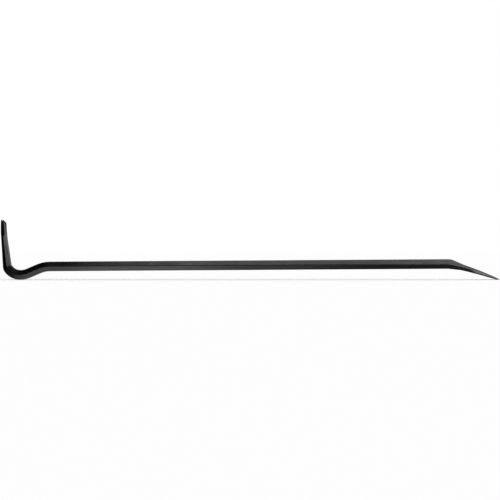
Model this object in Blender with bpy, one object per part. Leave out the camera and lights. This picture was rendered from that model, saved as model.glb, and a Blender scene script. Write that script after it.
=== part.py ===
"""A hexagonal crowbar forged in one piece: a slotted claw on a gooseneck at one end, a chisel at the other.

Sizes are in metres, +Z is up and +X points at the chisel.  The bar stands as it lies on a bench, on its heel
and its chisel edge with the claw up.  The origin is on the bench, below the middle of the bar's length.
"""

import math
from dataclasses import dataclass

import bmesh
import bpy
from mathutils import Matrix, Vector

# Overall sizes: the length along the shank, and the claw's tip above the heel, square to the shank
OVERALL_LENGTH = 1.000
HOOK_HEIGHT = 0.1208

# Rolled hexagonal stock, with flats above and below and a corner at each side.  A side corner is made of two
# halves, so its land is as wide as the rounding of both halves takes.
HEX_ACROSS_FLATS = 0.0194
HEX_SLOPE = math.pi / 6
CORNER_RADIUS = 0.0020
CORNER_LAND = 2 * CORNER_RADIUS * math.tan(HEX_SLOPE / 2)

# Gooseneck: the shank dips by NECK_ANGLE, then three arcs turn the bar up into the leg
NECK_ANGLE = math.radians(22.7)
NECK_RADIUS = 0.062
RUN_LENGTH = 0.0225
HEEL_ENTRY_ANGLE = math.radians(33.0)
HEEL_ENTRY_RADIUS = 0.0395
HEEL_RADIUS = 0.0277
HEEL_EXIT_ANGLE = math.radians(28.5)
HEEL_EXIT_RADIUS = 0.015
HEEL_EXIT_THICKNESS = 0.0182
LEG_LEAN = math.radians(5.6)
LEG_BASE_THICKNESS = 0.0154

# Claw: drawn thin and hammered wide, its sides ground flat and its tip bevelled on the inner side.  Each
# GROUND_OFF is how much wider the hammered hexagon is than the ground sides that follow it.
CLAW_LENGTH = 0.038
CLAW_CURL = math.radians(7.5)
CLAW_WIDTH = 0.0240
CLAW_GROUND_OFF = 0.0012
CLAW_BASE_THICKNESS = 0.0090
CLAW_TIP_THICKNESS = 0.0061
CLAW_SIDE_RUNOUT = 0.011
CLAW_CHAMFER = 0.0008
CLAW_CORNER_CUT = 0.0012
CLAW_CORNER_LENGTH = 0.004
CLAW_BEVEL = math.radians(42.0)
CLAW_TIP_LAND = 0.0006

# Nail slot: a V with a round root, whose edges are sunk on the inner side for the nail's head
SLOT_DEPTH = 0.028
SLOT_MOUTH_WIDTH = 0.0110
SLOT_ROOT_WIDTH = 0.0036
SLOT_SINK = 0.0012

# Chisel: bent down from the shank, hammered to a wedge and ground to a blunt edge
CHISEL_LENGTH = 0.099
CHISEL_BEND_ANGLE = math.radians(14.5)
CHISEL_BEND_RADIUS = 0.025
CHISEL_CURL = math.radians(7.0)
CHISEL_SHOULDER_LENGTH = 0.024
CHISEL_SHOULDER_THICKNESS = 0.0119
CHISEL_SIDE_LENGTH = 0.058
CHISEL_SIDE_RUNOUT = 0.010
CHISEL_SIDE_WIDTH = 0.0242
CHISEL_GROUND_OFF = 0.0008
CHISEL_EDGE_WIDTH = 0.0280
CHISEL_UPPER_CHAMFER = 0.0018
CHISEL_LOWER_CHAMFER = 0.0011
CHISEL_GRIND_LENGTH = 0.018
CHISEL_GRIND_THICKNESS = 0.0050
CHISEL_GRIND_CHAMFER = 0.0010
CHISEL_EDGE_THICKNESS = 0.0018
CHISEL_EDGE_CHAMFER = 0.0005

# Fineness of the round stretches
ARC_STEP = math.radians(3.5)
TAPER_STEP = 0.008
CORNER_STEPS = 3
ROOT_STEPS = 12
SHARP_ANGLE = math.radians(30)

# The most of a section's side that the rounding of one corner takes
CORNER_SHARE = 0.44

# Turns that settle the bar on the bench, each from the lowest points that the one before leaves
REST_ROUNDS = 4

# Room that a cutter has past the faces it cuts
CUTTER_ROOM = 0.010

LACQUER_COLOUR = (0.006, 0.006, 0.0065, 1.0)
LACQUER_ROUGHNESS = 0.38

# Less than a sharp hexagon's by what the side lands cut off
HEX_ACROSS_CORNERS = HEX_ACROSS_FLATS / math.cos(HEX_SLOPE) - CORNER_LAND * math.tan(HEX_SLOPE)


@dataclass(frozen=True)
class Section:
    """A cross-section with an upper and a lower land, two side lands and four chamfers between them.

    Width lies across the bar and thickness in the plane of its bends.  A chamfer is given as how far it
    cuts in across the width and down the thickness.  In a hexagon the chamfers leave only narrow side lands.
    """

    thickness: float
    width: float
    upper_across: float
    upper_down: float
    lower_across: float
    lower_down: float

    def mixed(self, other: "Section", share: float) -> "Section":
        """The section that lies the given share of the way to the other one."""
        mine, theirs = vars(self), vars(other)
        return Section(**{name: mine[name] + (theirs[name] - mine[name]) * share for name in mine})

    def corners(self) -> list[Vector]:
        """The eight corners as (across, up), in order round the section."""
        side, top = self.width / 2, self.thickness / 2
        right = [
            Vector((side - self.lower_across, -top)),
            Vector((side, self.lower_down - top)),
            Vector((side, top - self.upper_down)),
            Vector((side - self.upper_across, top)),
        ]
        return right + [Vector((-corner.x, corner.y)) for corner in reversed(right)]

    def outline(self) -> list[Vector]:
        """The corners rounded off, each by an arc for which its two sides have room."""
        corners = self.corners()
        points = []
        for before, corner, after in zip(corners[-1:] + corners, corners, corners[1:] + corners[:1]):
            back, ahead = before - corner, after - corner
            half_turn = (math.pi - back.angle(ahead)) / 2
            setback = min(CORNER_RADIUS * math.tan(half_turn), CORNER_SHARE * min(back.length, ahead.length))
            inward = (back.normalized() + ahead.normalized()).normalized()
            centre = corner + inward * setback / math.sin(half_turn)
            start = corner + back.normalized() * setback - centre
            for step in range(CORNER_STEPS + 1):
                turned = Matrix.Rotation(2 * half_turn * step / CORNER_STEPS, 2) @ start
                points.append(centre + turned)
        return points


def hexagon(thickness: float, width: float = HEX_ACROSS_CORNERS) -> Section:
    """The stock, or the stock hammered thinner or wider, whose side facets keep their slope."""
    down = (thickness - CORNER_LAND) / 2
    across = down * math.tan(HEX_SLOPE)
    return Section(thickness, width, across, down, across, down)


def flat_sided(thickness: float, width: float, upper: float, lower: float) -> Section:
    """A blade with square sides and an even chamfer along its upper and its lower edges."""
    return Section(thickness, width, upper, upper, lower, lower)


def between(low: float, high: float, share: float) -> float:
    return low + (high - low) * share


@dataclass(frozen=True)
class Stretch:
    """A stretch of the centreline: straight, or an arc that turns upwards by a positive angle."""

    length: float
    turn: float = 0.0


def bend(radius: float, turn: float) -> Stretch:
    """An arc given by its radius."""
    return Stretch(radius * abs(turn), turn)


class Bar:
    """The bar as a centreline from the claw's tip to the chisel's edge, with sections at places along it."""

    def __init__(self, leg_length: float, shank_length: float) -> None:
        upright = math.pi / 2 - LEG_LEAN
        self.stretches = {
            "claw": Stretch(CLAW_LENGTH, CLAW_CURL),
            "leg": Stretch(leg_length),
            "heel_exit": bend(HEEL_EXIT_RADIUS, HEEL_EXIT_ANGLE),
            "heel": bend(HEEL_RADIUS, upright + NECK_ANGLE - HEEL_EXIT_ANGLE - HEEL_ENTRY_ANGLE),
            "heel_entry": bend(HEEL_ENTRY_RADIUS, HEEL_ENTRY_ANGLE),
            "run": Stretch(RUN_LENGTH),
            "neck": bend(NECK_RADIUS, -NECK_ANGLE),
            "shank": Stretch(shank_length),
            "chisel_bend": bend(CHISEL_BEND_RADIUS, -CHISEL_BEND_ANGLE),
            "chisel": Stretch(CHISEL_LENGTH, -CHISEL_CURL),
        }
        self.start_heading = -upright - CLAW_CURL
        self.length = sum(stretch.length for stretch in self.stretches.values())
        self.sections = self.claw_sections() + self.stock_sections() + self.chisel_sections()

    def start_of(self, name: str) -> float:
        """How far from the claw's tip the named stretch starts."""
        names = list(self.stretches)
        return sum(self.stretches[each].length for each in names[: names.index(name)])

    def claw_sections(self) -> list[tuple[float, Section]]:
        """The claw's sections: flat-sided with its tip's corners cut, and running out into the hexagon."""

        def ground(along: float, width: float) -> tuple[float, Section]:
            thickness = between(CLAW_TIP_THICKNESS, CLAW_BASE_THICKNESS, along / CLAW_LENGTH)
            return along, flat_sided(thickness, width, CLAW_CHAMFER, CLAW_CHAMFER)

        return [
            ground(0.0, CLAW_WIDTH - 2 * CLAW_CORNER_CUT),
            ground(CLAW_CORNER_LENGTH, CLAW_WIDTH),
            ground(CLAW_LENGTH - CLAW_SIDE_RUNOUT, CLAW_WIDTH),
            (CLAW_LENGTH, hexagon(CLAW_BASE_THICKNESS, CLAW_WIDTH + CLAW_GROUND_OFF)),
        ]

    def stock_sections(self) -> list[tuple[float, Section]]:
        """The hexagon from the leg to the chisel's bend, drawn thinner up the leg."""
        return [
            (self.start_of("heel_exit"), hexagon(LEG_BASE_THICKNESS)),
            (self.start_of("heel"), hexagon(HEEL_EXIT_THICKNESS)),
            (self.start_of("heel_entry"), hexagon(HEX_ACROSS_FLATS)),
            (self.start_of("chisel"), hexagon(HEX_ACROSS_FLATS)),
        ]

    def chisel_sections(self) -> list[tuple[float, Section]]:
        """The chisel's sections: the shoulder, the sides that are ground off the hexagon, and the edge."""
        shoulder = CHISEL_LENGTH - CHISEL_SHOULDER_LENGTH
        flat = CHISEL_SIDE_LENGTH - CHISEL_SIDE_RUNOUT
        hammered = CHISEL_SIDE_WIDTH + CHISEL_GROUND_OFF

        def wedge(back: float) -> float:
            share = (back - CHISEL_GRIND_LENGTH) / (shoulder - CHISEL_GRIND_LENGTH)
            return between(CHISEL_GRIND_THICKNESS, CHISEL_SHOULDER_THICKNESS, share)

        def ground(back: float, thickness: float, upper: float, lower: float) -> tuple[float, Section]:
            width = between(CHISEL_EDGE_WIDTH, CHISEL_SIDE_WIDTH, back / flat)
            return self.length - back, flat_sided(thickness, width, upper, lower)

        return [
            (self.length - shoulder, hexagon(CHISEL_SHOULDER_THICKNESS)),
            (self.length - CHISEL_SIDE_LENGTH, hexagon(wedge(CHISEL_SIDE_LENGTH), hammered)),
            ground(flat, wedge(flat), CHISEL_UPPER_CHAMFER, CHISEL_LOWER_CHAMFER),
            ground(CHISEL_GRIND_LENGTH, CHISEL_GRIND_THICKNESS, CHISEL_GRIND_CHAMFER, CHISEL_GRIND_CHAMFER),
            ground(0.0, CHISEL_EDGE_THICKNESS, CHISEL_EDGE_CHAMFER, CHISEL_EDGE_CHAMFER),
        ]

    def placed(self, along: float) -> Matrix:
        """The frame at a place along the bar: X along it, Y across it, Z out of its upper side."""
        frame = Matrix.Rotation(-self.start_heading, 4, "Y")
        left = along
        for stretch in self.stretches.values():
            share = min(left / stretch.length, 1.0)
            turn = stretch.turn * share
            step = Vector((stretch.length * share, 0.0, 0.0))
            if turn:
                radius = stretch.length / stretch.turn
                step = Vector((radius * math.sin(turn), 0.0, radius * (1 - math.cos(turn))))
            frame = frame @ Matrix.Translation(step) @ Matrix.Rotation(-turn, 4, "Y")
            left -= stretch.length
            if left <= 0:
                break
        return frame

    def section_at(self, along: float) -> Section:
        """The section at a distance from the claw's tip, mixed from the two on either side of it."""
        for (start, first), (end, second) in zip(self.sections, self.sections[1:]):
            if along <= end:
                return first.mixed(second, (along - start) / (end - start))
        return self.sections[-1][1]

    def stations(self) -> list[float]:
        """The places that get a ring of points: each section, and even steps along tapers and arcs."""
        places = {round(along, 6) for along, _ in self.sections}
        for (start, first), (end, second) in zip(self.sections, self.sections[1:]):
            steps = 1 if first == second else math.ceil((end - start) / TAPER_STEP)
            places |= {round(between(start, end, step / steps), 6) for step in range(steps)}
        start = 0.0
        for stretch in self.stretches.values():
            steps = max(1, math.ceil(abs(stretch.turn) / ARC_STEP))
            places |= {round(start + stretch.length * step / steps, 6) for step in range(steps + 1)}
            start += stretch.length
        return sorted(places)

    def rings(self) -> list[list[Vector]]:
        """One closed ring of points for each station."""
        made = []
        for along in self.stations():
            frame = self.placed(along)
            outline = self.section_at(along).outline()
            made.append([frame @ Vector((0.0, point.x, point.y)) for point in outline])
        return made


def bar_of_overall_size() -> Bar:
    """The bar whose straight leg and shank bring it to its overall height and length."""
    leg, shank = HOOK_HEIGHT / 2, OVERALL_LENGTH / 2
    trial = Bar(leg, shank)
    rings = trial.rings()
    hook = [ring for ring, along in zip(rings, trial.stations()) if along <= trial.start_of("shank")]
    heights = [point.z for ring in hook for point in ring]
    reaches = [point.x for ring in rings for point in ring]
    leg += (HOOK_HEIGHT - (max(heights) - min(heights))) / math.cos(LEG_LEAN)
    shank += OVERALL_LENGTH - (max(reaches) - min(reaches))
    # The leg leans back, so lengthening it also moves the claw away from the chisel
    trial = Bar(leg, shank)
    reaches = [point.x for ring in trial.rings() for point in ring]
    return Bar(leg, shank + OVERALL_LENGTH - (max(reaches) - min(reaches)))


def resting(points: list[Vector]) -> Matrix:
    """What stands the bar on the lowest points of its two ends, with its origin at mid-length."""
    middle = (min(point.x for point in points) + max(point.x for point in points)) / 2
    turned = Matrix.Identity(4)
    for _ in range(REST_ROUNDS):
        moved = [turned @ point for point in points]
        heel = min((point for point, source in zip(moved, points) if source.x < middle), key=lambda p: p.z)
        edge = min((point for point, source in zip(moved, points) if source.x >= middle), key=lambda p: p.z)
        turned = Matrix.Rotation(math.atan2(edge.z - heel.z, edge.x - heel.x), 4, "Y") @ turned
    moved = [turned @ point for point in points]
    left, right = min(point.x for point in moved), max(point.x for point in moved)
    low = min(point.z for point in moved)
    return Matrix.Translation((-(left + right) / 2, 0.0, -low)) @ turned


def lacquer() -> bpy.types.Material:
    """Black lacquer over the forged steel."""
    material = bpy.data.materials.new("black_lacquered_steel")
    material.use_nodes = True
    shader = material.node_tree.nodes["Principled BSDF"]
    shader.inputs["Base Color"].default_value = LACQUER_COLOUR
    shader.inputs["Roughness"].default_value = LACQUER_ROUGHNESS
    shader.inputs["Metallic"].default_value = 0.0
    material.diffuse_color = LACQUER_COLOUR
    return material


def lofted(name: str, rings: list[list[Vector]], collection: bpy.types.Collection) -> bpy.types.Object:
    """A closed mesh over rings of equally many points, with both ends filled."""
    shape = bmesh.new()
    loops = [[shape.verts.new(point) for point in ring] for ring in rings]
    for first, second in zip(loops, loops[1:]):
        for i in range(len(first)):
            j = (i + 1) % len(first)
            shape.faces.new((first[i], first[j], second[j], second[i]))
    shape.faces.new(loops[0])
    shape.faces.new(loops[-1])
    bmesh.ops.recalc_face_normals(shape, faces=shape.faces)
    mesh = bpy.data.meshes.new(name)
    shape.to_mesh(mesh)
    shape.free()
    made = bpy.data.objects.new(name, mesh)
    collection.objects.link(made)
    return made


def as_cutter(cutter: bpy.types.Object, target: bpy.types.Object) -> None:
    """Cuts the target with the cutter, which stays out of the render."""
    cutter.hide_render = True
    cutter.display_type = "WIRE"
    cut = target.modifiers.new(cutter.name, "BOOLEAN")
    cut.operation = "DIFFERENCE"
    cut.solver = "EXACT"
    cut.object = cutter


def slot_outline(sink: float) -> list[tuple[float, float]]:
    """The nail slot seen square to the claw, as (down from the tip, across), widened on each side by sink."""
    root, mouth = SLOT_ROOT_WIDTH / 2, SLOT_MOUTH_WIDTH / 2
    flare = math.atan((mouth - root) / SLOT_DEPTH)
    centre = SLOT_DEPTH - root
    sweep = math.pi - 2 * flare
    arc = [math.pi / 2 - flare - sweep * step / ROOT_STEPS for step in range(ROOT_STEPS + 1)]
    radius = root + sink
    points = [(centre + radius * math.cos(angle), radius * math.sin(angle)) for angle in arc]
    run = (centre + radius * math.sin(flare) + CUTTER_ROOM) / math.cos(flare)
    ahead = (points[0][0] - run * math.cos(flare), points[0][1] + run * math.sin(flare))
    return [ahead, *points, (ahead[0], -ahead[1])]


def nail_slot(bar: Bar, rest: Matrix, collection: bpy.types.Collection) -> bpy.types.Object:
    """The slot's cutter, straight through the claw and spreading as it leaves the inner side."""
    middle = SLOT_DEPTH / 2
    half = bar.section_at(middle).thickness / 2
    frame = rest @ bar.placed(middle) @ Matrix.Translation((-middle, 0.0, 0.0))
    levels = [
        (-half - CUTTER_ROOM, 0.0),
        (half - SLOT_SINK, 0.0),
        (half + CUTTER_ROOM, SLOT_SINK + CUTTER_ROOM),
    ]
    rings = [
        [frame @ Vector((down, across, up)) for down, across in slot_outline(sink)] for up, sink in levels
    ]
    return lofted("nail_slot_cutter", rings, collection)


def tip_bevel(bar: Bar, rest: Matrix, collection: bpy.types.Collection) -> bpy.types.Object:
    """The cutter that slopes the claw's tip from a narrow outer land back to the inner side."""
    size = 4 * CLAW_TIP_THICKNESS + 2 * CUTTER_ROOM
    bpy.ops.mesh.primitive_cube_add(size=size)
    cutter = bpy.context.active_object
    cutter.name = "tip_bevel_cutter"
    cutter.scale.y = 2 * CLAW_WIDTH / size
    edge = Matrix.Translation((0.0, 0.0, CLAW_TIP_LAND - CLAW_TIP_THICKNESS / 2))
    slope = Matrix.Rotation(math.pi / 2 - CLAW_BEVEL, 4, "Y")
    back = Matrix.Translation((-size / 2, 0.0, 0.0))
    cutter.matrix_world = rest @ bar.placed(0.0) @ edge @ slope @ back @ cutter.matrix_basis
    for linked in list(cutter.users_collection):
        linked.objects.unlink(cutter)
    collection.objects.link(cutter)
    return cutter


def build() -> None:
    for old in list(bpy.data.objects):
        bpy.data.objects.remove(old, do_unlink=True)
    scene = bpy.context.scene.collection
    parts = bpy.data.collections.new("crowbar")
    cutters = bpy.data.collections.new("cutters")
    scene.children.link(parts)
    scene.children.link(cutters)

    bar = bar_of_overall_size()
    rings = bar.rings()
    rest = resting([point for ring in rings for point in ring])
    forged = lofted("forged_bar", [[rest @ point for point in ring] for ring in rings], parts)
    forged.data.materials.append(lacquer())
    forged.data.shade_smooth()
    forged.data.set_sharp_from_angle(angle=SHARP_ANGLE)
    as_cutter(tip_bevel(bar, rest, cutters), forged)
    as_cutter(nail_slot(bar, rest, cutters), forged)


build()
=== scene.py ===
"""A black lacquered crowbar, forged in one piece from a hexagonal bar, on a pale studio floor.

Sizes are in metres, +Z is up and +X points at the chisel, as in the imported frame.  The bar is made as a
smith makes it.  A straight blank is drawn out station by station, its claw is slotted and its tip bevelled
while it still lies straight, and it is then bent along its centreline and stood on its heel and its edge.
"""

import logging
import math
from collections.abc import Callable, Iterable
from dataclasses import dataclass, field
from enum import Enum

import bmesh
import bpy
from bpy.types import Material, Node, NodeSocket, NodeTree, Object, World
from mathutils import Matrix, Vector

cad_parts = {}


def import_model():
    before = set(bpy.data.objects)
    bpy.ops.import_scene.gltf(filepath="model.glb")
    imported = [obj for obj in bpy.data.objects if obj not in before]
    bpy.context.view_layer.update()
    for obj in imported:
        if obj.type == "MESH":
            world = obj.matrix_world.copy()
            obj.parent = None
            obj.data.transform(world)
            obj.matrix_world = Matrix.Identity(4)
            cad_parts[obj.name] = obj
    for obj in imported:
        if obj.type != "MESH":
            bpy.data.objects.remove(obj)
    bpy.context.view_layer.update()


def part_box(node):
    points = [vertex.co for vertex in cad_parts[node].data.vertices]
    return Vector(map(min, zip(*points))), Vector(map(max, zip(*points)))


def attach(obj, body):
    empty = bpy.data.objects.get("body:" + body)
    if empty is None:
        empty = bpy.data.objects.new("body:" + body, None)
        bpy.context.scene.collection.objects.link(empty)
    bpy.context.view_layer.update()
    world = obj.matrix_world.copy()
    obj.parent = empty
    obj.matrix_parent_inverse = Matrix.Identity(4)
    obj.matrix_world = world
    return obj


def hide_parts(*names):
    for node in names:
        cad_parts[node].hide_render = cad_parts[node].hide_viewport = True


log = logging.getLogger("crowbar")

IMAGE_SIDE = 500

# How near two places are to count as one, and how short a move is to be left out
SAME = 1e-6
STILL = 1e-7

# A card's turn about X, Y and Z from lying flat: none, on edge facing the bar, or on edge facing along it
FLAT = (0.0, 0.0, 0.0)
UPRIGHT = (math.pi / 2, 0.0, 0.0)
EDGEWAYS = (0.0, math.pi / 2, 0.0)


class Corner(Enum):
    """A pair of the bar's long corners, mirrored across its middle."""

    UPPER_LAND = "where the upper land meets its slope"
    UPPER_SIDE = "where the upper slope meets the side"
    LOWER_SIDE = "where the lower slope meets the side"
    LOWER_LAND = "where the lower land meets its slope"


@dataclass(frozen=True)
class Section:
    """A cross-section of the bar: an upper and a lower land, two sides, and four slopes between them.

    Attributes:
        thickness: From land to land, in the plane of the bar's bends.
        width: From side to side, across the bar.
        upper_slope: How far in and how far down the upper slopes cut.
        lower_slope: How far in and how far up the lower slopes cut.
    """

    thickness: float
    width: float
    upper_slope: tuple[float, float]
    lower_slope: tuple[float, float]

    def place(self, corner: Corner) -> Vector:
        """One corner of a pair, as (up, across)."""
        top, side = self.thickness / 2, self.width / 2
        places = {
            Corner.UPPER_LAND: (top, side - self.upper_slope[0]),
            Corner.UPPER_SIDE: (top - self.upper_slope[1], side),
            Corner.LOWER_SIDE: (self.lower_slope[1] - top, side),
            Corner.LOWER_LAND: (-top, side - self.lower_slope[0]),
        }
        return Vector(places[corner])

    def mixed(self, other: "Section", share: float) -> "Section":
        """The section that lies the given share of the way to another one."""

        def mix(mine: float, theirs: float) -> float:
            return mine + (theirs - mine) * share

        def mix_pair(mine: tuple[float, float], theirs: tuple[float, float]) -> tuple[float, float]:
            return mix(mine[0], theirs[0]), mix(mine[1], theirs[1])

        return Section(
            mix(self.thickness, other.thickness),
            mix(self.width, other.width),
            mix_pair(self.upper_slope, other.upper_slope),
            mix_pair(self.lower_slope, other.lower_slope),
        )

    def rounding(self, corner: Corner, radius: float, most: float) -> float:
        """How far from a corner its rounding may start.

        Args:
            corner: The corner that is rounded.
            radius: The radius of the rounding.
            most: The largest share of a neighbouring face that it may take.

        Returns:
            The distance from the corner, along either face beside it.
        """
        order = list(Corner)
        at = order.index(corner)
        here = self.place(corner)
        mirror = Vector((1.0, -1.0))
        before = self.place(order[at - 1]) if at else here * mirror
        after = self.place(order[at + 1]) if at + 1 < len(order) else here * mirror
        back, ahead = before - here, after - here
        half_turn = (math.pi - back.angle(ahead)) / 2
        return min(radius * math.tan(half_turn), most * min(back.length, ahead.length))


@dataclass(frozen=True)
class Stretch:
    """A stretch of the centreline: straight, or an arc that turns upwards by a positive angle."""

    length: float
    turn: float = 0.0

    @classmethod
    def bend(cls, radius: float, degrees: float) -> "Stretch":
        """An arc given by its radius and how far it turns."""
        turn = math.radians(degrees)
        return cls(radius * abs(turn), turn)

    @property
    def reach(self) -> float:
        """The length of the two Bezier handles that draw it."""
        if not self.turn:
            return self.length / 3
        return abs(4 / 3 * math.tan(self.turn / 4) * self.length / self.turn)

    def step(self, heading: float) -> Vector:
        """The way from its start to its end, when it starts at a heading in the XY plane."""
        ahead = Vector((math.cos(heading), math.sin(heading), 0.0))
        if not self.turn:
            return ahead * self.length
        radius = self.length / self.turn
        across = Vector((-ahead.y, ahead.x, 0.0))
        return ahead * radius * math.sin(self.turn) + across * radius * (1 - math.cos(self.turn))


@dataclass(frozen=True)
class Hexagon:
    """The rolled stock, which has flats above and below and a corner at each side."""

    across_flats: float = 0.0194
    corner_radius: float = 0.0020
    # The most of a narrow face that the rounding of its corner takes
    corner_share: float = 0.30
    slope: float = math.radians(30)

    @property
    def corner_land(self) -> float:
        """The land between the two halves of a side corner, as wide as their roundings take."""
        return 2 * self.corner_radius * math.tan(self.slope / 2)

    @property
    def across_corners(self) -> float:
        """The stock's width over its side lands."""
        return self.across_flats / math.cos(self.slope) - self.corner_land * math.tan(self.slope)

    def hammered(self, thickness: float, width: float) -> Section:
        """The hexagon hammered thinner and wider, with the slope of its facets kept."""
        down = (thickness - self.corner_land) / 2
        cut = (down * math.tan(self.slope), down)
        return Section(thickness, width, cut, cut)

    def full(self) -> Section:
        """The stock as it was rolled."""
        return self.hammered(self.across_flats, self.across_corners)


@dataclass(frozen=True)
class Claw:
    """The claw: drawn thin and wide, its sides ground flat, its tip bevelled on the inner side."""

    length: float = 0.038
    curl: float = math.radians(7.5)
    width: float = 0.0240
    # How much the grinding takes off the hammered width
    ground_off: float = 0.0012
    base_thickness: float = 0.0090
    tip_thickness: float = 0.0061
    # Over which the ground flats of the sides fade into the hexagon
    side_runout: float = 0.011
    chamfer: float = 0.0008
    corner_cut: float = 0.0012
    corner_length: float = 0.004
    bevel: float = math.radians(42)
    tip_land: float = 0.0006

    def thickness(self, along: float) -> float:
        """The claw's thickness at a distance from its tip."""
        return self.tip_thickness + (self.base_thickness - self.tip_thickness) * along / self.length

    def sections(self, stock: Hexagon) -> list[tuple[float, Section]]:
        """The claw's sections, each with its distance from the tip."""
        cut = (self.chamfer, self.chamfer)

        def ground(along: float, width: float) -> tuple[float, Section]:
            return along, Section(self.thickness(along), width, cut, cut)

        return [
            ground(0.0, self.width - 2 * self.corner_cut),
            ground(self.corner_length, self.width),
            ground(self.length - self.side_runout, self.width),
            (self.length, stock.hammered(self.base_thickness, self.width + self.ground_off)),
        ]


@dataclass(frozen=True)
class NailSlot:
    """The V that takes a nail: a round root, and edges sunk on the inner side for the nail's head."""

    depth: float = 0.028
    mouth_width: float = 0.0110
    root_width: float = 0.0036
    sink: float = 0.0012
    # How far the cutter stands out of the claw
    room: float = 0.010
    root_points: int = 48

    @property
    def root_centre(self) -> float:
        """How far from the claw's tip the root's round is centred."""
        return self.depth - self.root_width / 2

    @property
    def flare(self) -> float:
        """The angle between the bar's middle and either wall."""
        return math.atan((self.mouth_width - self.root_width) / 2 / self.depth)


@dataclass(frozen=True)
class Gooseneck:
    """The neck, the heel and the leg, from the shank to the claw, as stretches of the centreline."""

    leg: float = 0.0540
    leg_thickness: float = 0.0154
    leg_lean: float = math.radians(5.6)
    heel_exit: Stretch = Stretch.bend(0.015, 28.5)
    heel_exit_thickness: float = 0.0182
    heel: Stretch = Stretch.bend(0.0277, 45.6)
    heel_entry: Stretch = Stretch.bend(0.0395, 33.0)
    run: float = 0.0225
    neck: Stretch = Stretch.bend(0.062, -22.7)


@dataclass(frozen=True)
class Chisel:
    """The chisel: bent down, hammered to a wedge, its sides ground flat and its edge ground blunt."""

    length: float = 0.099
    bend: Stretch = Stretch.bend(0.025, -14.5)
    curl: float = math.radians(7)
    shoulder_length: float = 0.024
    shoulder_thickness: float = 0.0119
    side_length: float = 0.058
    side_runout: float = 0.010
    side_width: float = 0.0242
    ground_off: float = 0.0008
    edge_width: float = 0.0280
    upper_chamfer: float = 0.0018
    lower_chamfer: float = 0.0011
    grind_length: float = 0.018
    grind_thickness: float = 0.0050
    grind_chamfer: float = 0.0010
    edge_thickness: float = 0.0018
    edge_chamfer: float = 0.0005

    def sections(self, stock: Hexagon) -> list[tuple[float, Section]]:
        """The chisel's sections, each with its distance back from the edge, the furthest first."""
        shoulder = self.length - self.shoulder_length
        flat = self.side_length - self.side_runout

        def wedge(back: float) -> float:
            share = (back - self.grind_length) / (shoulder - self.grind_length)
            return self.grind_thickness + (self.shoulder_thickness - self.grind_thickness) * share

        def ground(back: float, thickness: float, upper: float, lower: float) -> tuple[float, Section]:
            width = self.edge_width + (self.side_width - self.edge_width) * back / flat
            return back, Section(thickness, width, (upper, upper), (lower, lower))

        return [
            (shoulder, stock.hammered(self.shoulder_thickness, stock.across_corners)),
            (self.side_length, stock.hammered(wedge(self.side_length), self.side_width + self.ground_off)),
            ground(flat, wedge(flat), self.upper_chamfer, self.lower_chamfer),
            ground(self.grind_length, self.grind_thickness, self.grind_chamfer, self.grind_chamfer),
            ground(0.0, self.edge_thickness, self.edge_chamfer, self.edge_chamfer),
        ]


def linear_colour(hex_value: str) -> tuple[float, float, float, float]:
    """Turns an sRGB hex value into the linear colour that a shader takes."""

    def channel(text: str) -> float:
        value = int(text, 16) / 255
        return value / 12.92 if value <= 0.04045 else ((value + 0.055) / 1.055) ** 2.4

    digits = hex_value.lstrip("#")
    red, green, blue = (channel(digits[at : at + 2]) for at in (0, 2, 4))
    return red, green, blue, 1.0


def add_node(
    tree: NodeTree,
    kind: str,
    settings: dict[str, object] | None = None,
    inputs: dict[str | int, object] | None = None,
) -> Node:
    """Adds a node to a tree.

    Args:
        tree: The tree of the material or the world.
        kind: The node's type, as Blender names it after its opening ShaderNode.
        settings: The node's own properties.
        inputs: By socket, a value, or the output socket that is linked to it.

    Returns:
        The new node.
    """
    node = tree.nodes.new(f"ShaderNode{kind}")
    for name, value in (settings or {}).items():
        setattr(node, name, value)
    for name, value in (inputs or {}).items():
        socket = node.inputs[name] if isinstance(name, int) else shown(node.inputs, name)
        if isinstance(value, NodeSocket):
            tree.links.new(value, socket)
        else:
            socket.default_value = value
    return node


def shown(sockets: Iterable[NodeSocket], name: str) -> NodeSocket:
    """The socket of that name that a node shows, because a Mix node hides those of its other data types."""
    return next(socket for socket in sockets if socket.name == name and socket.enabled)


def empty_tree(owner: Material | World) -> NodeTree:
    """The node tree of a material or the world, with nothing in it."""
    owner.use_nodes = True
    owner.node_tree.nodes.clear()
    return owner.node_tree


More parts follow.
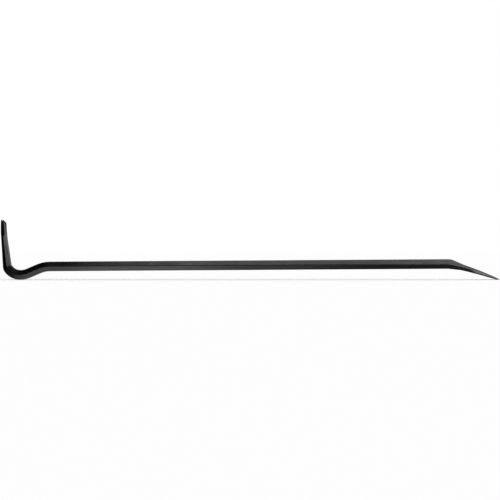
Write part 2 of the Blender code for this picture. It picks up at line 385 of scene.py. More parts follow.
@dataclass(frozen=True)
class StovedLacquer:
    """Black stoving lacquer, sprayed thinly on a drop-forged steel bar and baked.

    Attributes:
        name: The material's name.
        colour: The lacquer where it lies thick.
        rubbed_colour: The lacquer where handling has rubbed it thin.
        ior: That of a baked alkyd resin.
        roughness: Satin, as an unpolished sprayed coat dries.
        roughness_spread: How far the sheen wanders to either side of that.
        cloud_size: The size of the patches of thicker and thinner coat.
        cloud_span: The values of their noise between which nearly all of it lies.
        die_size, die_depth: The soft hollows that the forging dies leave.
        line_gap, line_length, line_depth: The lines that rolling leaves along the stock.
        wheel_gap, wheel_length, wheel_depth: The lines that grinding leaves across the ground ends.
        peel_size, peel_depth: The ripples of the sprayed coat.
        rubbed_radius: How near to a corner the coat is rubbed.
        rubbed_samples: How many rays look for a corner.
        rubbed_cosines: The cosines of the turns at which the wear starts and is full, 6 and 22 degrees.
    """

    name: str = "black_stoving_lacquer_sprayed"
    colour: str = "#060606"
    rubbed_colour: str = "#2b2b2b"
    ior: float = 1.5
    roughness: float = 0.30
    roughness_spread: float = 0.05
    cloud_size: float = 0.030
    cloud_span: tuple[float, float] = (0.35, 0.65)
    die_size: float = 0.016
    die_depth: float = 0.00010
    # Real rolling lines and wheel lines are a few tenths of a millimetre apart, and real ripples about one
    # millimetre across.  They are drawn coarser here, because they wouldn't show in the render otherwise.
    line_gap: float = 0.0012
    line_length: float = 0.120
    line_depth: float = 0.000010
    wheel_gap: float = 0.0009
    wheel_length: float = 0.015
    wheel_depth: float = 0.000016
    peel_size: float = 0.0022
    peel_depth: float = 0.000015
    rubbed_radius: float = 0.0007
    rubbed_samples: int = 6
    rubbed_cosines: tuple[float, float] = (0.995, 0.93)

    def material(self, ground: tuple[float, float], fade: float) -> Material:
        """Builds the lacquer.

        What the eye gets from it is a deep black with a satin sheen.  The sheen is broken along the bar by
        fine lines, wanders a little from patch to patch, ripples softly, and turns greyer on the corners.

        Args:
            ground: Where, along the bar's map, the ground flats of the claw and of the chisel begin.
            fade: The length over which the ground flats run out.

        Returns:
            The material, which reads Object coordinates and the bar's own map.
        """
        material = bpy.data.materials.new(self.name)
        tree = empty_tree(material)
        place = add_node(tree, "TexCoord").outputs
        # The spray lies thicker in some patches, which dry glossier than the thin ones
        cloud = self.noise(tree, place["Object"], (self.cloud_size,) * 3, detail=4.0)
        sheen = {
            "Value": cloud,
            "From Min": self.cloud_span[0],
            "From Max": self.cloud_span[1],
            "To Min": self.roughness - self.roughness_spread,
            "To Max": self.roughness + self.roughness_spread,
        }
        rubbed = self.rubbed_share(tree, cloud)
        blacks = {"Factor": rubbed, "A": linear_colour(self.colour), "B": linear_colour(self.rubbed_colour)}
        colour = add_node(tree, "Mix", {"data_type": "RGBA"}, blacks)
        ends = self.ground_share(tree, place["UV"], ground, fade)
        height = self.relief(tree, place["Object"], place["UV"], ends)
        # The height is in metres as it stands, so the distance and the strength leave it alone
        bump = add_node(tree, "Bump", inputs={"Height": height, "Distance": 1.0, "Strength": 1.0})
        coat = {
            "Base Color": shown(colour.outputs, "Result"),
            "Roughness": add_node(tree, "MapRange", inputs=sheen).outputs["Result"],
            "IOR": self.ior,
            "Normal": bump.outputs["Normal"],
        }
        shader = add_node(tree, "BsdfPrincipled", inputs=coat)
        add_node(tree, "OutputMaterial", inputs={"Surface": shader.outputs["BSDF"]})
        return material

    def noise(
        self, tree: NodeTree, place: NodeSocket, size: tuple[float, float, float], detail: float
    ) -> NodeSocket:
        """Adds a noise.

        Args:
            tree: The material's nodes.
            place: The coordinates that it reads, in metres.
            size: The size of its features along each axis, in metres.
            detail: How many finer octaves it has.

        Returns:
            The noise's value, about 0.5 on the whole.
        """
        scale = tuple(1 / length for length in size)
        scaled = add_node(tree, "Mapping", inputs={"Vector": place, "Scale": scale})
        pattern = {"Vector": scaled.outputs["Vector"], "Scale": 1.0, "Detail": detail}
        return add_node(tree, "TexNoise", inputs=pattern).outputs["Fac"]

    def ground_share(
        self, tree: NodeTree, along: NodeSocket, ground: tuple[float, float], fade: float
    ) -> NodeSocket:
        """How far a place is ground flat, from 0 on the forged bar to 1 at its two ends.

        Args:
            tree: The material's nodes.
            along: The bar's own map.
            ground: Where the two ground ends begin, along the map.
            fade: The length over which they run out.

        Returns:
            The share.
        """
        here = add_node(tree, "SeparateXYZ", inputs={"Vector": along}).outputs["X"]
        shares = {}
        for end, (start, run) in enumerate(zip(ground, (-fade, fade))):
            limits = {"Value": here, "From Min": start, "From Max": start + run}
            shares[end] = add_node(tree, "MapRange", inputs=limits).outputs["Result"]
        return add_node(tree, "Math", {"operation": "MAXIMUM"}, shares).outputs["Value"]

    def relief(
        self, tree: NodeTree, place: NodeSocket, along: NodeSocket, ground: NodeSocket
    ) -> NodeSocket:
        """Sums the steel's relief and the spray's ripples.

        Args:
            tree: The material's nodes.
            place: Object coordinates.
            along: The bar's own map, whose first axis runs along the bar.
            ground: How far a place is ground flat.

        Returns:
            The height in metres.
        """
        forged = add_node(tree, "Math", {"operation": "SUBTRACT"}, {0: 1.0, 1: ground}).outputs[0]
        # Dies leave soft hollows that make the sheen swim, and rolling leaves lines that draw it lengthways
        dies = self.noise(tree, place, (self.die_size,) * 3, detail=1.0)
        lines = self.noise(tree, along, (self.line_length, self.line_gap, 1.0), detail=2.0)
        # The wheel takes both away at the ends, and leaves its own short lines across them
        wheel = self.noise(tree, along, (self.wheel_gap, self.wheel_length, 1.0), detail=2.0)
        # The ripples lie in the coat, so they are everywhere, and keep the sheen satin
        peel = self.noise(tree, place, (self.peel_size,) * 3, detail=1.0)
        layers = (
            (dies, self.die_depth, forged),
            (lines, self.line_depth, forged),
            (wheel, self.wheel_depth, ground),
            (peel, self.peel_depth, 1.0),
        )
        height: NodeSocket | float = 0.0
        for pattern, depth, share in layers:
            here = add_node(tree, "Math", {"operation": "MULTIPLY"}, {0: pattern, 1: share})
            terms = {0: here.outputs[0], 1: depth, 2: height}
            height = add_node(tree, "Math", {"operation": "MULTIPLY_ADD"}, terms).outputs[0]
        return height

    def rubbed_share(self, tree: NodeTree, cloud: NodeSocket) -> NodeSocket:
        """How far handling has rubbed the lacquer thin, which shows the corners as faint grey lines.

        Args:
            tree: The material's nodes.
            cloud: The patches, so that the wear comes and goes along a corner.

        Returns:
            The share, from 0 on the flats to about half on the sharpest corners.
        """
        eased = add_node(tree, "Bevel", {"samples": self.rubbed_samples}, {"Radius": self.rubbed_radius})
        faces = add_node(tree, "NewGeometry")
        # The cosine of the turn between the two normals is 1 on a flat and falls towards a corner
        normals = {0: eased.outputs["Normal"], 1: faces.outputs["Normal"]}
        cosine = add_node(tree, "VectorMath", {"operation": "DOT_PRODUCT"}, normals).outputs["Value"]
        limits = {"Value": cosine, "From Min": self.rubbed_cosines[0], "From Max": self.rubbed_cosines[1]}
        corner = add_node(tree, "MapRange", inputs=limits).outputs["Result"]
        return add_node(tree, "Math", {"operation": "MULTIPLY"}, {0: corner, 1: cloud}).outputs["Value"]


@dataclass(frozen=True)
class SeamlessPaper:
    """White background paper, calendered matt, which keeps the soft shadow of what stands on it.

    Attributes:
        name: The material's name.
        colour: The paper's white.
        shade: The paper between its pulp's paler flocks.
        roughness: Matt, as uncoated paper.
        flock_size: The size of the flocks, drawn coarser than the real ones of about a millimetre.
        tooth_depth: The depth of the tooth that they give the surface.
        lift: How much brighter it is seen than it is lit, because nothing but the room lights it.
    """

    name: str = "white_seamless_paper_calendered"
    colour: str = "#f6f6f6"
    shade: str = "#f4f4f4"
    roughness: float = 0.95
    flock_size: float = 0.004
    tooth_depth: float = 0.00002
    lift: float = 0.08

    def material(self) -> Material:
        """Builds the paper.

        What the eye gets from it is an even, glareless white with no edge, in which only the shadow shows.

        Returns:
            The material, which reads Object coordinates.
        """
        material = bpy.data.materials.new(self.name)
        tree = empty_tree(material)
        place = add_node(tree, "TexCoord").outputs["Object"]
        pattern = {"Vector": place, "Scale": 1 / self.flock_size, "Detail": 2.0}
        flocks = add_node(tree, "TexNoise", inputs=pattern).outputs["Fac"]
        whites = {"Factor": flocks, "A": linear_colour(self.shade), "B": linear_colour(self.colour)}
        white = add_node(tree, "Mix", {"data_type": "RGBA"}, whites)
        tooth = add_node(tree, "Bump", inputs={"Height": flocks, "Distance": self.tooth_depth})
        face = {
            "Base Color": shown(white.outputs, "Result"),
            "Roughness": self.roughness,
            "Specular IOR Level": 0.0,
            "Emission Color": linear_colour(self.colour),
            "Normal": tooth.outputs["Normal"],
        }
        paper = add_node(tree, "BsdfPrincipled", inputs=face)
        # The camera and every reflection see the lift, and nothing is lit by it
        path = add_node(tree, "LightPath").outputs
        seen = path["Is Camera Ray"]
        for other in ("Is Glossy Ray", "Is Transmission Ray"):
            rays = {0: seen, 1: path[other]}
            seen = add_node(tree, "Math", {"operation": "MAXIMUM"}, rays).outputs[0]
        lift = add_node(tree, "Math", {"operation": "MULTIPLY"}, {0: seen, 1: self.lift})
        tree.links.new(lift.outputs[0], paper.inputs["Emission Strength"])
        add_node(tree, "OutputMaterial", inputs={"Surface": paper.outputs["BSDF"]})
        return material


@dataclass(frozen=True)
class CardGlow:
    """The glow of a studio card, painted light that is darker or paler along the card's length.

    Attributes:
        name: What the card is called.
        length: The card's length.
        levels: Places along the card, from its middle, each with its brightness, where 1 is white.
    """

    name: str
    length: float
    levels: tuple[tuple[float, float], ...]

    def material(self) -> Material:
        """Builds the glow.

        The lacquer alone mirrors it, as a soft dark or pale band of painted light on a facet.

        Returns:
            The material, whose brightness follows the card's own X axis.
        """
        material = bpy.data.materials.new(self.name)
        tree = empty_tree(material)
        brightest = max(level for _, level in self.levels)
        glow = add_node(tree, "Emission", inputs={"Strength": brightest})
        if len(self.levels) > 1:
            here = add_node(tree, "TexCoord").outputs["Object"]
            along = add_node(tree, "SeparateXYZ", inputs={"Vector": here}).outputs["X"]
            limits = {"Value": along, "From Min": -self.length / 2, "From Max": self.length / 2}
            share = add_node(tree, "MapRange", inputs=limits).outputs["Result"]
            fade = add_node(tree, "ValToRGB", inputs={"Fac": share})
            stops = fade.color_ramp.elements
            while len(stops) < len(self.levels):
                stops.new(1.0)
            for stop, (place, level) in zip(stops, self.levels):
                stop.position = place / self.length + 0.5
                stop.color = (*(level / brightest,) * 3, 1.0)
            tree.links.new(fade.outputs["Color"], glow.inputs["Color"])
        add_node(tree, "OutputMaterial", inputs={"Surface": glow.outputs["Emission"]})
        return material


def choose(test: Callable[[Vector], bool]) -> None:
    """Selects the vertices whose place passes a test, in the mesh that is in edit mode."""
    shape = bmesh.from_edit_mesh(bpy.context.edit_object.data)
    for vert in shape.verts:
        vert.select_set(test(vert.co))
    shape.select_flush_mode()
    bmesh.update_edit_mesh(bpy.context.edit_object.data)


def open_mesh(owner: Object) -> None:
    """Opens an object's mesh for editing by vertices, with all of it selected."""
    bpy.context.view_layer.objects.active = owner
    bpy.ops.object.mode_set(mode="EDIT")
    bpy.ops.mesh.select_mode(type="VERT")
    bpy.ops.mesh.select_all(action="SELECT")


def apply_modifier(owner: Object, kind: str, **settings: object) -> None:
    """Adds a modifier to an object and applies it.

    Args:
        owner: The object, which becomes the only selected one.
        kind: The modifier's type, as Blender names it.
        settings: The modifier's own properties.
    """
    bpy.ops.object.select_all(action="DESELECT")
    owner.select_set(True)
    bpy.context.view_layer.objects.active = owner
    bpy.ops.object.modifier_add(type=kind)
    modifier = owner.modifiers[-1]
    for name, value in settings.items():
        setattr(modifier, name, value)
    bpy.ops.object.modifier_apply(modifier=modifier.name)


@dataclass
class ForgedBar:
    """The whole crowbar, which is one forging.

    Attributes:
        stock: The hexagonal bar that it is made from.
        claw: The slotted end.
        slot: The slot in the claw.
        gooseneck: The bends between the claw and the shank.
        shank: The length of the straight shank.
        chisel: The flat end.
        finish: The lacquer.
        bend_step: The most that the bar turns from one station to the next.
        taper_step: The most that lies between two stations where the section changes.
        corner_segments: How many facets round a long corner.
        smooth_angle: The most that two facets may turn from each other and still be shaded as one.
        face_weight: How much the large faces lead the shading, from 1 to 100, where 50 is evenly.
    """

    stock: Hexagon = field(default_factory=Hexagon)
    claw: Claw = field(default_factory=Claw)
    slot: NailSlot = field(default_factory=NailSlot)
    gooseneck: Gooseneck = field(default_factory=Gooseneck)
    shank: float = 0.80155
    chisel: Chisel = field(default_factory=Chisel)
    finish: StovedLacquer = field(default_factory=StovedLacquer)
    bend_step: float = math.radians(1.5)
    taper_step: float = 0.004
    corner_segments: int = 4
    smooth_angle: float = math.radians(35)
    face_weight: int = 80

    def __post_init__(self) -> None:
        """Lays out the centreline and the sections along it, both from the claw's tip."""
        neck = self.gooseneck
        self.stretches = [
            Stretch(self.claw.length, self.claw.curl),
            Stretch(neck.leg),
            neck.heel_exit,
            neck.heel,
            neck.heel_entry,
            Stretch(neck.run),
            neck.neck,
            Stretch(self.shank),
            self.chisel.bend,
            Stretch(self.chisel.length, -self.chisel.curl),
        ]
        lengths = [stretch.length for stretch in self.stretches]
        self.starts = [sum(lengths[:at]) for at in range(len(lengths))]
        self.length = self.starts[-1] + self.chisel.length
        full = self.stock.full()
        across = self.stock.across_corners
        leg_base, heel, heel_entry = self.starts[2:5]
        self.sections = self.claw.sections(self.stock) + [
            (leg_base, self.stock.hammered(neck.leg_thickness, across)),
            (heel, self.stock.hammered(neck.heel_exit_thickness, across)),
            (heel_entry, full),
            (self.starts[-1], full),
        ]
        chisel = self.chisel.sections(self.stock)
        self.sections += [(self.length - back, section) for back, section in chisel]

    def section_at(self, along: float) -> Section:
        """The section at a distance from the claw's tip."""
        for (start, first), (end, second) in zip(self.sections, self.sections[1:]):
            if along <= end:
                return first.mixed(second, (along - start) / (end - start))
        return self.sections[-1][1]

    def stations(self) -> list[float]:
        """The distances from the claw's tip at which the blank gets a ring of corners."""
        places = set()
        for (start, first), (end, second) in zip(self.sections, self.sections[1:]):
            steps = 1 if first == second else math.ceil((end - start) / self.taper_step)
            places |= {round(start + (end - start) * step / steps, 6) for step in range(steps + 1)}
        for start, stretch in zip(self.starts, self.stretches):
            steps = max(1, math.ceil(abs(stretch.turn) / self.bend_step))
            places |= {round(start + stretch.length * step / steps, 6) for step in range(steps + 1)}
        return sorted(places)

    def build(self) -> Object:
        """Forges the bar: blank, corners, claw, bends, stand.

        Returns:
            The finished bar, at the origin, with its place in its mesh.
        """
        bar = self.blank()
        self.ease_corners(bar)
        self.cut_slot(bar)
        self.bevel_tip(bar)
        self.map_along(bar)
        self.bend(bar)
        self.stand(bar)
        self.smooth(bar)
        return bar

    def blank(self) -> Object:
        """Draws the straight blank out along +X, its upper side towards +Y, one extrusion per station."""
        radius = self.stock.across_flats / 2
        corners = 2 * len(Corner)
        eighth = math.tau / corners
        bpy.ops.mesh.primitive_circle_add(
            vertices=corners, radius=radius, fill_type="NGON", rotation=(0.0, math.pi / 2, 0.0)
        )
        bpy.ops.object.transform_apply(location=False, rotation=True, scale=False)
        bar = bpy.context.active_object
        bar.name = bar.data.name = "lacquered_bar"
        open_mesh(bar)
        # Half an eighth of a turn stands the octagon on a side, so that its corners make mirrored pairs
        bpy.ops.transform.rotate(value=eighth / 2, orient_axis="X", center_override=(0.0, 0.0, 0.0))
        turns = {corner: eighth * (at + 0.5) for at, corner in enumerate(Corner)}
        ring = {corner: Vector((math.cos(turn), math.sin(turn))) * radius for corner, turn in turns.items()}
        here = 0.0
        for along in self.stations():
            if along > 0:
                choose(lambda co: co.x > here - SAME)
                bpy.ops.mesh.extrude_region_move(TRANSFORM_OT_translate={"value": (along - here, 0.0, 0.0)})
            ring = self.reshape(along, ring)
            here = along
        bpy.ops.mesh.select_all(action="SELECT")
        bpy.ops.mesh.normals_make_consistent(inside=False)
        bpy.ops.object.mode_set(mode="OBJECT")
        return bar

    def reshape(self, along: float, ring: dict[Corner, Vector]) -> dict[Corner, Vector]:
        """Hammers the end ring of the blank to the section of its station.

        Args:
            along: The ring's distance from the claw's tip.
            ring: Where each pair of its corners lies now, as (up, across).

        Returns:
            Where each pair lies afterwards.
        """
        section = self.section_at(along)
        shaped = {corner: section.place(corner) for corner in Corner}
        for corner, old in ring.items():
            new = shaped[corner]
            if (new - old).length < STILL:
                continue
            choose(lambda co: co.x > along - SAME and (Vector((co.y, abs(co.z))) - old).length < SAME)
            bpy.ops.transform.resize(
                value=(1.0, new.x / old.x, new.y / old.y), center_override=(along, 0.0, 0.0)
            )
        return shaped

    def ease_corners(self, bar: Object) -> None:
        """Rounds the long corners, each as far as the faces beside it allow."""
        shape = bmesh.new()
        shape.from_mesh(bar.data)
        weights = shape.edges.layers.float.new("bevel_weight_edge")
        widest = self.stock.corner_radius * math.tan(self.stock.slope)
        for edge in shape.edges:
            ends = [vert.co for vert in edge.verts]
            if abs(ends[0].x - ends[1].x) > SAME:
                edge[weights] = min(self.rounding_at(end) for end in ends) / widest
        shape.to_mesh(bar.data)
        shape.free()
        rounded = {"width": widest, "segments": self.corner_segments, "use_clamp_overlap": False}
        apply_modifier(bar, "BEVEL", limit_method="WEIGHT", **rounded)

    def rounding_at(self, place: Vector) -> float:
        """How far the rounding of the corner at a place of the blank may reach."""
        section = self.section_at(place.x)

        def distance(corner: Corner) -> float:
            return (section.place(corner) - Vector((place.y, abs(place.z)))).length

        nearest = min(Corner, key=distance)
        return section.rounding(nearest, self.stock.corner_radius, self.stock.corner_share)

    def cut_slot(self, bar: Object) -> None:
        """Cuts the nail slot with a cutter that spreads as it leaves the inner side."""
        slot = self.slot
        half = self.claw.thickness(slot.depth / 2) / 2
        room = slot.room
        levels = [(-half - room, 0.0), (half - slot.sink, 0.0), (half + room, slot.sink + room)]
        bpy.ops.mesh.primitive_circle_add(vertices=slot.root_points, radius=slot.root_width / 2)
        cutter = bpy.context.active_object
        open_mesh(cutter)
        bpy.ops.mesh.delete(type="VERT")
        for height, sink in levels:
            self.slot_loop(height, sink)
        for (low, _), (high, _) in zip(levels, levels[1:]):
            choose(lambda co: low - SAME < co.y < high + SAME)
            bpy.ops.mesh.bridge_edge_loops()
        for height in (levels[0][0], levels[-1][0]):
            choose(lambda co: abs(co.y - height) < SAME)
            bpy.ops.mesh.edge_face_add()
        bpy.ops.mesh.select_all(action="SELECT")
        bpy.ops.mesh.normals_make_consistent(inside=False)
        bpy.ops.object.mode_set(mode="OBJECT")
        apply_modifier(bar, "BOOLEAN", operation="DIFFERENCE", solver="EXACT", object=cutter)
        bpy.data.objects.remove(cutter, do_unlink=True)

    def slot_loop(self, height: float, sink: float) -> None:
        """Adds the slot's outline to the cutter in edit mode, as a closed loop of edges.

        A circle loses what lies towards the tip of its last point before the walls touch it, so that every
        loop keeps as many points, and the walls are then drawn out of its two open ends.

        Args:
            height: The loop's height above the blank's middle.
            sink: How much wider it is on each side than the slot.
        """
        slot = self.slot
        radius = slot.root_width / 2 + sink
        centre = slot.root_centre
        bpy.ops.mesh.select_all(action="DESELECT")
        bpy.ops.mesh.primitive_circle_add(
            vertices=slot.root_points,
            radius=radius,
            location=(centre, height, 0.0),
            rotation=(math.pi / 2, 0.0, 0.0),
        )
        half_step = math.pi / slot.root_points
        tangent = centre + radius * math.sin(slot.flare - half_step)
        choose(lambda co: abs(co.y - height) < SAME and co.x < tangent)
        bpy.ops.mesh.delete(type="VERT")
        verts = bmesh.from_edit_mesh(bpy.context.edit_object.data).verts
        loop = [vert.co.copy() for vert in verts if abs(vert.co.y - height) < SAME]
        open_end = min(loop, key=lambda co: co.x)
        run = open_end.x + slot.room
        for side in (-1, 1):
            end = Vector((open_end.x, height, side * abs(open_end.z)))
            choose(lambda co: (co - end).length < SAME)
            step = (-run, 0.0, side * run * math.tan(slot.flare))
            bpy.ops.mesh.extrude_region_move(TRANSFORM_OT_translate={"value": step})
        choose(lambda co: abs(co.y - height) < SAME and co.x < -slot.room + SAME)
        bpy.ops.mesh.edge_face_add()

    def bevel_tip(self, bar: Object) -> None:
        """Slopes the claw's tip back from a narrow outer land to the inner side."""
        claw = self.claw
        open_mesh(bar)
        choose(lambda co: co.x < claw.length)
        bpy.ops.mesh.bisect(
            plane_co=(0.0, claw.tip_land - claw.tip_thickness / 2, 0.0),
            plane_no=(math.sin(claw.bevel), -math.cos(claw.bevel), 0.0),
            use_fill=True,
            clear_inner=True,
        )
        bpy.ops.object.mode_set(mode="OBJECT")

    def map_along(self, bar: Object) -> None:
        """Gives the straight bar a map in metres, whose first axis runs along the bar and bends with it."""
        open_mesh(bar)
        bpy.ops.uv.cube_project(
            cube_size=1.0, correct_aspect=False, clip_to_bounds=False, scale_to_bounds=False
        )
        # Triangles, because the bend would twist a flat face
        bpy.ops.mesh.quads_convert_to_tris()
        bpy.ops.object.mode_set(mode="OBJECT")

    def centreline(self) -> Object:
        """Makes the guide that the bar is bent along, as a flat curve in the XY plane."""
        guide = bpy.data.curves.new("centreline", "CURVE")
        guide.dimensions = "2D"
        # Fine enough for the curve to lie within a hundredth of a millimetre of each arc
        guide.resolution_u = 96
        spline = guide.splines.new("BEZIER")
        spline.bezier_points.add(len(self.stretches))
        heading = self.gooseneck.leg_lean - math.pi / 2 - self.claw.curl
        place = Vector((0.0, 0.0, 0.0))
        before = [self.stretches[0], *self.stretches]
        after = [*self.stretches, self.stretches[-1]]
        for point, last, coming in zip(spline.bezier_points, before, after):
            ahead = Vector((math.cos(heading), math.sin(heading), 0.0))
            point.co = place
            point.handle_left_type = point.handle_right_type = "FREE"
            point.handle_left = place - ahead * last.reach
            point.handle_right = place + ahead * coming.reach
            place = place + coming.step(heading)
            heading += coming.turn
        made = bpy.data.objects.new("centreline", guide)
        bpy.context.scene.collection.objects.link(made)
        return made

    def bend(self, bar: Object) -> None:
        """Bends the straight bar along its centreline and turns it upright."""
        guide = self.centreline()
        apply_modifier(bar, "CURVE", object=guide, deform_axis="POS_X")
        bpy.data.objects.remove(guide, do_unlink=True)
        bar.rotation_euler.x = math.pi / 2
        bpy.ops.object.transform_apply(location=False, rotation=True, scale=False)

    def stand(self, bar: Object) -> None:
        """Stands the bar on its heel and its chisel edge, in the middle of the frame's box."""
        # A turn moves the lowest points a little, so it is repeated until they stay
        rounds = 4
        for _ in range(rounds):
            places = [vert.co for vert in bar.data.vertices]
            middle = (min(co.x for co in places) + max(co.x for co in places)) / 2
            heel = min((co for co in places if co.x < middle), key=lambda co: co.z)
            edge = min((co for co in places if co.x >= middle), key=lambda co: co.z)
            bar.rotation_euler.y = math.atan2(edge.z - heel.z, edge.x - heel.x)
            bpy.ops.object.transform_apply(location=False, rotation=True, scale=False)
        places = [vert.co for vert in bar.data.vertices]
        low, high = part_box("forged_bar")
        left, right = min(co.x for co in places), max(co.x for co in places)
        bar.location = ((low.x + high.x - left - right) / 2, 0.0, low.z - min(co.z for co in places))
        bpy.ops.object.transform_apply(location=True, rotation=False, scale=False)

    def smooth(self, bar: Object) -> None:
        """Shades the roundings smooth and the facets flat."""
        bpy.ops.object.shade_smooth_by_angle(angle=self.smooth_angle)
        apply_modifier(bar, "WEIGHTED_NORMAL", keep_sharp=True, weight=self.face_weight)

    def dress(self, bar: Object) -> None:
        """Lacquers the bar and ties it to the frame."""
        # The projection put the middle of the straight bar at the middle of its map, where a metre is 1
        middle = 0.5
        tip = middle - self.length / 2
        ground = (tip + self.claw.length, tip + self.length - self.chisel.side_length)
        bar.data.materials.clear()
        bar.data.materials.append(self.finish.material(ground, self.claw.side_runout))
        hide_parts("forged_bar")
        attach(bar, "root")


@dataclass
class Camera:
    """The camera, level with the claw and square to the bar, as the outline in the photograph fits.

    Attributes:
        focal_length: In pixels of the square image.
        distance: From the bar's middle plane.
        height: Above the bench.
        sideways: How far right of the bar's middle it stands.
    """

    focal_length: float = 1089.7
    distance: float = 2.200
    height: float = 0.0598
    sideways: float = 0.0005

    def build(self) -> None:
        """Adds the camera and makes it the scene's."""
        bpy.ops.object.camera_add(
            location=(self.sideways, -self.distance, self.height), rotation=(math.pi / 2, 0.0, 0.0)
        )
        camera = bpy.context.active_object
        camera.data.lens = self.focal_length / IMAGE_SIDE * camera.data.sensor_width
        bpy.context.scene.camera = camera


# Painted light and shade on the floor, which only the lacquer mirrors
# The card at the bar's foot: dark under the claw, pale before the neck, and darker towards the chisel
FOOT_LEVELS = (
    (-0.54, 0.0), (-0.485, 0.2), (-0.475, 0.45), (-0.46, 1.15), (-0.38, 1.2), (-0.31, 1.75), (-0.18, 1.78),
    (-0.12, 1.6), (0.0, 0.85), (0.10, 0.70), (0.18, 0.42), (0.26, 0.24), (0.60, 0.24),
)


@dataclass(frozen=True)
class Card:
    """A card, black or glowing with painted light, that stands out of the picture and shows only in the
    lacquer.

    Attributes:
        name: What it is called.
        centre: Where its middle stands.
        size: Its length and height.
        turn: Its turn about X, Y and Z, from lying flat.
        levels: Places along its length, from its middle, each with its brightness, where 1 is white.
    """

    name: str
    centre: tuple[float, float, float]
    size: tuple[float, float]
    turn: tuple[float, float, float] = UPRIGHT
    levels: tuple[tuple[float, float], ...] = ((0.0, 0.0),)


@dataclass(frozen=True)
class Softbox:
    """An oblong lamp with an even front.

    Attributes:
        name: What it is called.
        place: Where its middle stands.
        size: Its length and height.
        brightness: How bright its front is, where 1 is white.
        aim: The height at which it points, straight at the bar's middle plane.
    """

    name: str
    place: tuple[float, float, float]
    size: tuple[float, float]
    brightness: float
    aim: float = 0.0


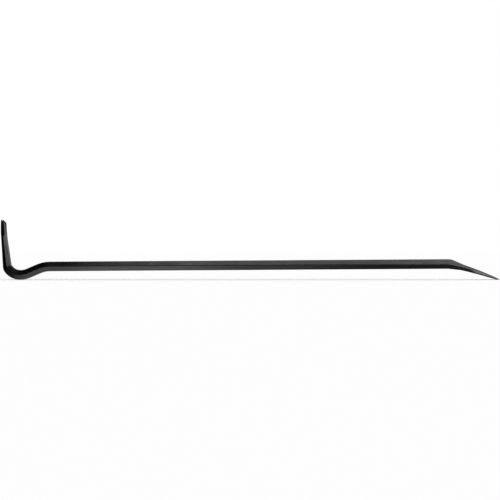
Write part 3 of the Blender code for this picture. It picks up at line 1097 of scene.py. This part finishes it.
@dataclass
class Studio:
    """A pale floor, an even white room, softboxes, and dark or glowing cards that give black lacquer its
    edges.

    Attributes:
        floor_size: The side of the square floor.
        paper: What the floor is covered with.
        room_brightness: How bright the room is, where 1 is white.
        cards: The cards.
        softboxes: The lamps.
    """

    floor_size: float = 60.0
    paper: SeamlessPaper = field(default_factory=SeamlessPaper)
    room_brightness: float = 1.0
    cards: tuple[Card, ...] = (
        # Beside the claw, for the dark outer band of the leg
        Card("left_card", (-1.15, -0.75, 0.68), (2.1, 3.70), (0.0, math.radians(-48), 0.0)),
        # Behind and above the camera, for the dark ridge and the dark claw and leg
        Card("front_card", (-1.80, -2.6, 0.45), (4.7, 0.9)),
        Card("front_hood", (0.0, -1.9, 1.68), (8.0, 2.1), (math.radians(49), 0.0, 0.0)),
        Card("right_card", (3.75, -2.6, 0.72), (4.5, 0.35)),
        # Behind the bar, for the inner side of the claw and, above that, for the bevel of its tip
        Card("back_card", (0.6, 2.6, 0.22), (3.0, 0.44), levels=((0.0, 0.6),)),
        Card("back_hood", (-0.4, 2.6, 0.79), (3.0, 0.70)),
        Card("back_right_card", (4.05, 2.6, 0.50), (3.9, 1.0)),
        # Beside the claw and the heel, painted shade on their near corners, where they hide the low lamp
        Card("claw_flag", (-0.40, -0.14, 0.145), (0.11, 0.24), EDGEWAYS),
        Card("heel_screen", (-0.40, -0.095, 0.023), (0.046, 0.13), EDGEWAYS, ((0.0, 0.5),)),
        # Over the heel, painted shade in its hollow, where the heel hides the lamps above
        Card("heel_flag", (-0.41, -0.13, 0.25), (0.12, 0.26), FLAT, ((0.0, 0.12),)),
        # Before the bar, for the lower half of the ridge
        Card("front_floor_card", (-1.85, -1.35, 0.001), (4.6, 2.5), FLAT),
        # At the bar's foot, painted light and shade on the floor for the lower facet
        Card("floor_card", (0.0, 0.075, 0.001), (4.0, 0.35), FLAT, FOOT_LEVELS),
    )
    softboxes: tuple[Softbox, ...] = (
        # Over the bar, for the upper facet, which brightens towards the chisel
        Softbox("overhead_left", (-0.26, -0.60, 1.35), (0.36, 0.6), 2.3),
        Softbox("overhead", (0.24, -0.60, 1.35), (0.64, 0.6), 1.75),
        Softbox("overhead_right", (1.20, -0.60, 1.35), (1.28, 0.6), 2.8),
        # Low on the right, for the bright side of the chisel and the slope inside the leg
        Softbox("front_right", (0.69, -0.90, 0.13), (0.44, 0.25), 9.0, aim=0.13),
    )

    def build(self) -> None:
        """Sets up the room, the floor, the cards and the lamps."""
        self.build_room()
        self.build_floor()
        for card in self.cards:
            self.build_card(card)
        for softbox in self.softboxes:
            self.build_softbox(softbox)
        bpy.context.scene.view_settings.view_transform = "Standard"

    def build_room(self) -> None:
        """Makes the world an even white room, which the camera and every reflection see as it is."""
        world = bpy.data.worlds.new("white_room")
        bpy.context.scene.world = world
        tree = empty_tree(world)
        white = {"Color": linear_colour("#ffffff"), "Strength": self.room_brightness}
        room = add_node(tree, "Background", inputs=white)
        add_node(tree, "OutputWorld", inputs={"Surface": room.outputs["Background"]})

    def build_floor(self) -> None:
        """Rolls out the paper."""
        bpy.ops.mesh.primitive_plane_add(size=self.floor_size)
        floor = bpy.context.active_object
        floor.name = "floor"
        floor.data.materials.append(self.paper.material())

    def build_card(self, card: Card) -> None:
        """Stands one card."""
        bpy.ops.mesh.primitive_plane_add(size=1.0, location=card.centre, rotation=card.turn)
        made = bpy.context.active_object
        made.name = card.name
        made.scale = (*card.size, 1.0)
        bpy.ops.object.transform_apply(location=False, rotation=False, scale=True)
        made.data.materials.append(CardGlow(card.name, card.size[0], card.levels).material())
        made.visible_shadow = False
        self.hold_out(made)

    def build_softbox(self, softbox: Softbox) -> None:
        """Hangs one softbox and points it."""
        bpy.ops.object.light_add(type="AREA", location=softbox.place)
        lamp = bpy.context.active_object
        lamp.name = softbox.name
        _, y, z = softbox.place
        ahead = Vector((0.0, -y, softbox.aim - z))
        lamp.rotation_euler = ahead.to_track_quat("-Z", "Y").to_euler()
        lamp.data.shape = "RECTANGLE"
        lamp.data.size, lamp.data.size_y = softbox.size
        # A front of brightness 1 gives off pi watts from each square metre
        lamp.data.energy = softbox.brightness * math.pi * softbox.size[0] * softbox.size[1]
        self.hold_out(lamp)

    def hold_out(self, thing: Object) -> None:
        """Keeps a card or lamp out of the picture and off the floor, so that only the lacquer shows it."""
        thing.visible_camera = False
        thing.visible_diffuse = False


def main() -> None:
    """Builds the bar and the studio in order."""
    logging.basicConfig(level=logging.INFO, format="%(name)s: %(message)s")
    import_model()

    Camera().build()
    Studio().build()
    forging = ForgedBar()
    bar = forging.build()
    forging.dress(bar)
    log.info("%s: %d faces", bar.name, len(bar.data.polygons))


if __name__ == "__main__":
    main()
